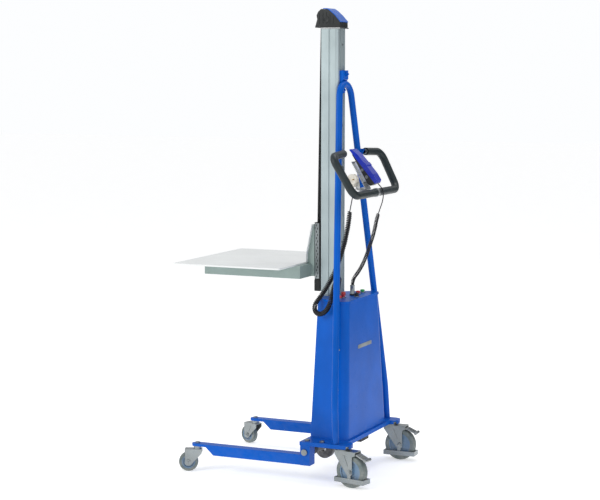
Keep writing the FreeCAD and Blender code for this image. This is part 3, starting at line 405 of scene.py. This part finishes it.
CHARGER_COIL = [(0.084, 0.099, 1.026), (0.084, 0.095, 0.988), (0.087, 0.089, 0.950),
                (0.091, 0.082, 0.910), (0.096, 0.072, 0.870), (0.102, 0.060, 0.830),
                (0.108, 0.047, 0.793), (0.115, 0.031, 0.758), (0.123, 0.012, 0.722),
                (0.133, -0.008, 0.691), (0.143, -0.021, 0.668), (0.153, -0.017, 0.645),
                (0.162, 0.004, 0.634), (0.168, 0.029, 0.642), (0.172, 0.048, 0.662),
                (0.175, 0.059, 0.690), (0.170, 0.065, 0.719), (0.164, 0.068, 0.745),
                (0.140, 0.072, 0.769), (0.108, 0.067, 0.770), (0.084, 0.052, 0.744),
                (0.080, 0.046, 0.705)]
# Each coil's outer radius, its wire's radius and the length of one turn
HANDSET_WINDING = (0.008, 0.0021, 0.0052)
CHARGER_WINDING = (0.010, 0.0026, 0.0068)
TURN_POINTS = 14


def route_curve(name, points, depth=0.0):
    """A NURBS curve whose control points are the route's, moved from the mast to the frame."""
    data = bpy.data.curves.new(name, "CURVE")
    data.dimensions, data.resolution_u, data.bevel_depth, data.bevel_resolution = "3D", 16, depth, 4
    data.use_fill_caps = True
    spline = data.splines.new("NURBS")
    spline.points.add(len(points) - 1)
    for control, (x, y, z) in zip(spline.points, points):
        control.co = (x, y + MAST_Y, z, 1)
    spline.order_u = 3
    spline.use_endpoint_u = True
    return bpy.data.objects.new(name, data)


def route_line(points):
    """Points read along a route's curve, and how far along it each one is."""
    curve = route_curve("route", points)
    mesh = bpy.data.meshes.new_from_object(curve)
    line = [v.co.copy() for v in mesh.vertices]
    bpy.data.objects.remove(curve)
    along = [0.0]
    for a, b in zip(line, line[1:]):
        along.append(along[-1] + (b - a).length)
    return line, along


def helix_line(line, along, winding):
    """The wire's own line: turns of the coil's radius round the route, wound by a loop."""
    radius, wire, pitch = winding
    ends = 4 * pitch
    count = int(along[-1] / pitch * TURN_POINTS)
    up, helix, i = Vector((0.3, 0.2, 1)), [], 0
    for step in range(count + 1):
        at = along[-1] * step / count
        while i < len(along) - 2 and along[i + 1] < at:
            i += 1
        share = (at - along[i]) / (along[i + 1] - along[i])
        centre = line[i].lerp(line[i + 1], share)
        ahead = (line[i + 1] - line[i]).normalized()
        up = (up - ahead * up.dot(ahead)).normalized()
        turn = 2 * math.pi * step / TURN_POINTS
        tight = 0.82 + 0.18 * min(1, at / ends, (along[-1] - at) / ends)
        reach = (radius - wire) * tight * (1 + 0.03 * math.sin(turn * 0.13))
        helix.append(centre + reach * (math.cos(turn) * up + math.sin(turn) * ahead.cross(up)))
    return helix


def make_lead(name, tail, coil, winding, material):
    """A thin tail, then a curly stretch that goes back into the machine."""
    thin = route_curve(name + "_tail", tail, 0.002)
    bpy.context.collection.objects.link(thin)
    thin.data.materials.append(material)
    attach(thin, "chassis")
    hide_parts(name + "_cord")
    _, along = route_line(tail)
    line, along = route_line(coil)
    wound = tube_mesh(name + "_curl", helix_line(line, along, winding), winding[1], 8)
    curly = new_piece(name + "_curl", wound, material, "chassis", name + "_coil")


# ---------------------------------------------------------------- belt

def make_belt(material):
    """The belt's front strand, from the pulley down to the carriage."""
    low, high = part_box("belt_front_run")
    face = NODES["belt_front_run"].data
    top_y = min(v.co.y for v in face.vertices if v.co.z > high.z - 0.01)
    steps, half, thick, rim = 60, high.x - 0.001, 0.0028, 0.002
    bm = bmesh.new()
    rows = []
    for i in range(steps + 1):
        share = i / steps
        z = high.z + (low.z - high.z) * share
        y = top_y + (low.y - top_y) * share
        rows.append([bm.verts.new((x, y + dy, z)) for x, dy in
                     ((-half, 0), (-half + rim, 0), (half - rim, 0), (half, 0), (half, thick),
                      (-half, thick))])
    for a, b in zip(rows, rows[1:]):
        for k in range(6):
            bm.faces.new((a[k], a[(k + 1) % 6], b[(k + 1) % 6], b[k]))
    bm.faces.new(list(reversed(rows[0])))
    bm.faces.new(rows[-1])
    bmesh.ops.recalc_face_normals(bm, faces=bm.faces)
    mesh = bpy.data.meshes.new("belt_front")
    bm.to_mesh(mesh)
    piece = bpy.data.objects.new("belt_front", mesh)
    bpy.context.collection.objects.link(piece)
    mesh.materials.append(material)
    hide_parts("belt_front_run")
    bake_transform(piece)


# ---------------------------------------------------------------- small parts

# The cabinet's tapered box: its foot and lid heights, then its half width and its back's place at the
# foot, each with how far it draws in by the lid
BOX_FOOT, BOX_LID = 0.162, 0.681
BOX_HALF_WIDTH, BOX_SIDE_TAPER = 0.213, 0.042
BOX_BACK, BOX_BACK_TAPER = 0.140, 0.017
SCREW_HEIGHTS, SCREW_Y = (0.197, 0.354, 0.507), 0.098
PULL_HEIGHT = 0.503


def box_share(z):
    """How far up the cabinet's box a height is: 0 at its foot and 1 at its lid."""
    return (z - BOX_FOOT) / (BOX_LID - BOX_FOOT)


def make_cover_screws(material):
    """Domed screws down each side of the cabinet, in place of the plain heads."""
    bm = bmesh.new()
    profile = [(0.0045, 0), (0.0045, 0.0008), (0.0041, 0.0018), (0.0031, 0.0025), (0.0016, 0.0028),
               (0.0015, 0.0016), (0.0004, 0.0015)]
    for z in SCREW_HEIGHTS:
        half = BOX_HALF_WIDTH - BOX_SIDE_TAPER * box_share(z)
        for side in (1, -1):
            turned(bm, profile, (side * half, SCREW_Y + MAST_Y, z), (side, 0, 0.08), 20)
    mesh = finished(bm, "cabinet_screws", 0)
    new_piece("cabinet_screws", mesh, material, "chassis", "cover_screws")


def make_carriage_trim(steel, dark):
    """A bright strip up each side of the carriage, its row of slots drawn as dark marks of painted shade,
    and black end blocks.
    """
    low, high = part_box("carriage_frame")
    bottom, middle = low.z + 0.047, (low.z + 0.047 + high.z) / 2
    strips, slot_shade_and_end_blocks = bmesh.new(), bmesh.new()
    for side in (1, -1):
        x, y = side * high.x, low.y + 0.0105
        slab(strips, rounded(0.0165, high.z - bottom - 0.004, 0.001), 0.0012 * side, (x, y, middle),
             (0, 1, 0), (0, 0, 1))
        # The slots are flat dark plastic marks on the strip, painted shade where the openings are.
        for k in range(17):
            z = bottom + 0.010 + k * (high.z - bottom - 0.020) / 16
            slab(slot_shade_and_end_blocks, rounded(0.0032, 0.0085, 0.0014), 0.0003 * side,
                 (x + 0.0012 * side, y + (0.0022 if k % 2 else -0.0016), z), (0, 1, 0), (0, 0, 1))
        for k in range(4):
            z = bottom + 0.022 + k * (high.z - bottom - 0.044) / 3
            turned(strips, [(0.0030, 0), (0.0030, 0.0010), (0.0022, 0.0015), (0.0009, 0.0016)],
                   (x + 0.0010 * side, y - 0.0052, z), (side, 0, 0), 18)
    for z in (low.z + 0.0225, high.z + 0.0006):
        tall = 0.043 if z < high.z else 0.0012
        slab(slot_shade_and_end_blocks, rounded(2 * high.x + 0.002, tall, min(0.002, tall / 3)), 0.0008,
             (0, low.y - 0.0001, z), (1, 0, 0), (0, 0, 1))
    piece = new_piece("carriage_side_trim", finished(strips, "carriage_side_trim", 0.0002), steel,
                      "carriage")
    piece = new_piece("carriage_end_blocks_and_slot_shade", finished(slot_shade_and_end_blocks, "carriage_end_blocks_and_slot_shade", 0.0001), dark,
                      "carriage")


LAMP_SEAT, SOCKET_SEAT = (0.100, 0.066 + MAST_Y, 0.694), (-0.014, 0.070 + MAST_Y, 0.696)


def make_control_tops(materials):
    """The lid's red lamp, button domes and socket sleeve, and the selector's bar and its mark."""
    bm = bmesh.new()
    turned(bm, [(0.0076, 0), (0.0076, 0.0035), (0.0066, 0.0068), (0.0044, 0.0088), (0.0018, 0.0096),
                (0.0004, 0.0097)], LAMP_SEAT, (0, 0, 1), 28)
    new_piece("lamp_dome", finished(bm, "lamp_dome", 0), materials["red_plastic"], "chassis")
    for body, slot in (("red_button", "red_plastic"), ("green_button", "green_plastic"),
                       ("stop_button", "red_plastic")):
        low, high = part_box(body)
        radius = (high.x - low.x) / 2 - 0.0004
        bm = bmesh.new()
        turned(bm, [(radius, -0.0004), (radius * 0.93, 0.0009), (radius * 0.7, 0.0019),
                    (radius * 0.35, 0.0024), (radius * 0.04, 0.0025)],
               ((low.x + high.x) / 2, (low.y + high.y) / 2, high.z), (0, 0, 1), 28)
        new_piece(body + "_dome", finished(bm, body + "_dome", 0), materials[slot], body)
    bm = bmesh.new()
    turned(bm, [(0.0094, 0.0), (0.0094, 0.004), (0.0088, 0.005), (0.0088, 0.029), (0.0094, 0.030),
                (0.0094, 0.0335), (0.0086, 0.0345)], SOCKET_SEAT, (0, 0, 1), 28)
    new_piece("socket_sleeve", finished(bm, "socket_sleeve", 0), materials["zinc"], "chassis")
    low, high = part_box("selector_knob")
    middle = ((low.x + high.x) / 2, (low.y + high.y) / 2, high.z)
    bm = bmesh.new()
    slab(bm, rounded(0.0042, 0.0135, 0.0018), 0.0030, middle, (1, 0, 0), (0, 1, 0))
    new_piece("selector_bar", finished(bm, "selector_bar", 0.0004), materials["dark_plastic"],
                      "selector_knob")
    bm = bmesh.new()
    slab(bm, rounded(0.0012, 0.0045, 0.0005), 0.0003, (middle[0], middle[1] + 0.0038, middle[2] + 0.0030),
         (1, 0, 0), (0, 1, 0))
    new_piece("selector_mark", finished(bm, "selector_mark", 0), materials["white_paint"],
                      "selector_knob")


FRONT_WHEEL, REAR_WHEEL = 0.0375, 0.0625
# Each castor: its pivot, how far it is turned in degrees, wheel radius, trail, cheek face, crown height
CASTORS = {
    "front_left": (0.260, -0.470, 203, FRONT_WHEEL, 0.036, 0.0185, 0.0885),
    "front_right": (-0.260, -0.470, 163, FRONT_WHEEL, 0.036, 0.0185, 0.0885),
    "rear_left": (0.250, 0.145, -11, REAR_WHEEL, 0.040, 0.0220, 0.1405),
    "rear_right": (-0.250, 0.145, 2, REAR_WHEEL, 0.040, 0.0220, 0.1405),
}


def make_castor_details(materials):
    """Race, cheek beads, axle ends and, at the rear, the pedal's round end and ribs."""
    for name, (x, y, turn, wheel, trail, face, crown) in CASTORS.items():
        heading = math.radians(turn)
        side = Vector((math.cos(heading), math.sin(heading), 0))
        along = Vector((-math.sin(heading), math.cos(heading), 0))
        pivot, up = Vector((x, y + MAST_Y, 0)), Vector((0, 0, 1))

        def spot(across, back, height):
            return pivot + side * across + along * back + up * height

        size = wheel / REAR_WHEEL
        bm = bmesh.new()
        turned(bm, [(0.0245 * size, 0), (0.0262 * size, 0.0012), (0.0262 * size, 0.0032),
                    (0.0236 * size, 0.0052)], spot(0, 0, crown), up, 36)
        for sign in (1, -1):
            lean = (along * (trail * 0.62) + up * (wheel - crown + 0.016 * size)).normalized()
            middle = spot(sign * face, trail * 0.55, (wheel + crown) / 2 + 0.002)
            slab(bm, rounded(0.0085 * size, 0.046 * size, 0.004 * size), sign * 0.0014, middle,
                 side.cross(lean) * -1, lean)
            turned(bm, [(0.0062 * size, 0), (0.0062 * size, 0.0018), (0.0045 * size, 0.0030),
                        (0.0008, 0.0032)], spot(sign * (face + 0.004), trail, wheel), side * sign, 20)
        new_piece(name + "_trim", finished(bm, name + "_trim", 0), materials["zinc"],
                          name + "_fork")
        if name.startswith("rear"):
            bm = bmesh.new()
            turned(bm, [(0.0052, 0), (0.0060, 0.0008), (0.0060, 0.0392), (0.0052, 0.0400)],
                   spot(-0.020, 0.1085, 0.1135), side, 24)
            lean = (along * 0.036 - up * 0.016).normalized()
            for across in (-0.009, 0.0, 0.009):
                slab(bm, rounded(0.0022, 0.030, 0.001), 0.0012, spot(across, 0.088, 0.1245), side, lean)
            new_piece(name + "_pedal_end", finished(bm, name + "_pedal_end", 0.0002),
                              materials["pedal_steel"], name + "_brake_pedal")


PULLEY_AXIS = (MAST_Y - 0.020, 1.756)


def make_cap_ribs(material):
    """Raised ribs and a round boss on the cap's sides, and a rim along their lower edges."""
    low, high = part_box("cap_shell")
    bm = bmesh.new()
    for side in (1, -1):
        x = side * (high.x - 0.0002)
        for k in range(5):
            y = low.y + 0.016 + 0.0145 * k
            top = high.z - 0.012 - (0.004 if k == 0 else 0.0095 * max(0, k - 2))
            slab(bm, rounded(0.0034, top - low.z - 0.014, 0.0015), 0.0016 * side,
                 (x, y, (top + low.z + 0.014) / 2), (0, 1, 0), (0, 0, 1))
        slab(bm, rounded(high.y - low.y - 0.001, 0.008, 0.002), 0.002 * side,
             (x, (low.y + high.y) / 2, low.z + 0.0045), (0, 1, 0), (0, 0, 1))
        turned(bm, [(0.0125, 0), (0.0125, 0.0012), (0.0105, 0.0020), (0.0095, 0.0012), (0.002, 0.001)],
               (x, *PULLEY_AXIS), (side, 0, 0), 32)
    piece = new_piece("cap_ribs", finished(bm, "cap_ribs", 0.0004), material, "chassis")


def make_cabinet_pull(material):
    """The grey pull that sits in the slot of the cabinet's back."""
    bm = bmesh.new()
    z = PULL_HEIGHT
    y = BOX_BACK - BOX_BACK_TAPER * box_share(z) + MAST_Y
    slab(bm, rounded(0.136, 0.0145, 0.004), 0.006, (0, y + 0.0008, z), (1, 0, 0), (0, 0, 1))
    slab(bm, rounded(0.120, 0.0035, 0.0012), 0.0025, (0, y - 0.0030, z + 0.001), (-1, 0, 0), (0, 0, 1))
    piece = new_piece("cabinet_pull", finished(bm, "cabinet_pull", 0.0006), material, "chassis")


MAST_BACK = 0.030 + MAST_Y
BRACKET_BOLT_HEIGHT, MAST_BOLT_HEIGHTS = 1.188, (0.62, 0.90, 1.35, 1.66)
BACKREST_FACING = (0, -0.9795, 0.2014)


def make_small_bolts(material):
    """The bolts down the mast's back and the backrest's two screws."""
    head = [(0.0065, 0), (0.0065, 0.0035), (0.0058, 0.0042), (0.0032, 0.0043), (0.0030, 0.0022),
            (0.0006, 0.0021)]
    bm = bmesh.new()
    turned(bm, head, (0, MAST_BACK, BRACKET_BOLT_HEIGHT), (0, 1, 0), 24)
    for z in MAST_BOLT_HEIGHTS:
        turned(bm, [(r * 0.7, h * 0.7) for r, h in head], (0, MAST_BACK, z), (0, 1, 0), 20)
    new_piece("mast_bolts", finished(bm, "mast_bolts", 0), material, "chassis")
    low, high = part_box("backrest")
    bm = bmesh.new()
    for x in (-0.045, 0.045):
        turned(bm, [(r * 0.6, h * 0.5) for r, h in head], (x, low.y + 0.0218, high.z - 0.012),
               BACKREST_FACING, 20)
    new_piece("backrest_screws", finished(bm, "backrest_screws", 0), material, "carriage")


PLUG_MIDDLE = Vector((0, 0.112 + MAST_Y, 1.150))
PLUG_STUDS, PLUG_STUD_RING = 10, 0.0191


def make_plug_pins(material):
    """Brass sleeves over the charger plug's pins, and a ring of small studs round its rim."""
    low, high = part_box("charger_plug")
    bm = bmesh.new()
    for side in (0.0095, -0.0095):
        turned(bm, [(0.0027, 0), (0.0027, 0.0125), (0.0020, 0.0142), (0.0008, 0.0146)],
               (high.x - 0.0143, PLUG_MIDDLE.y + side, PLUG_MIDDLE.z), (1, 0, 0), 20)
    for k in range(PLUG_STUDS):
        a = 2 * math.pi * k / PLUG_STUDS
        turned(bm, [(0.0011, 0), (0.0011, 0.006), (0.0006, 0.0064)],
               (low.x + 0.012, PLUG_MIDDLE.y + PLUG_STUD_RING * math.cos(a),
                PLUG_MIDDLE.z + PLUG_STUD_RING * math.sin(a)), (1, 0, 0), 10)
    new_piece("plug_pins", finished(bm, "plug_pins", 0), material, "chassis")


materials = make_materials()
make_camera()
make_studio()
dress_cad(materials)
make_lead("handset", HANDSET_TAIL, HANDSET_COIL, HANDSET_WINDING, materials["cord_rubber"])
make_lead("charger", CHARGER_TAIL, CHARGER_COIL, CHARGER_WINDING, materials["cord_rubber"])
make_belt(materials["belt"])
make_cover_screws(materials["zinc"])
make_carriage_trim(materials["zinc"], materials["cap_plastic"])
make_control_tops(materials)
make_castor_details(materials)
make_cap_ribs(materials["cap_plastic"])
make_cabinet_pull(materials["zinc"])
make_small_bolts(materials["zinc"])
make_plug_pins(materials["plug_brass"])
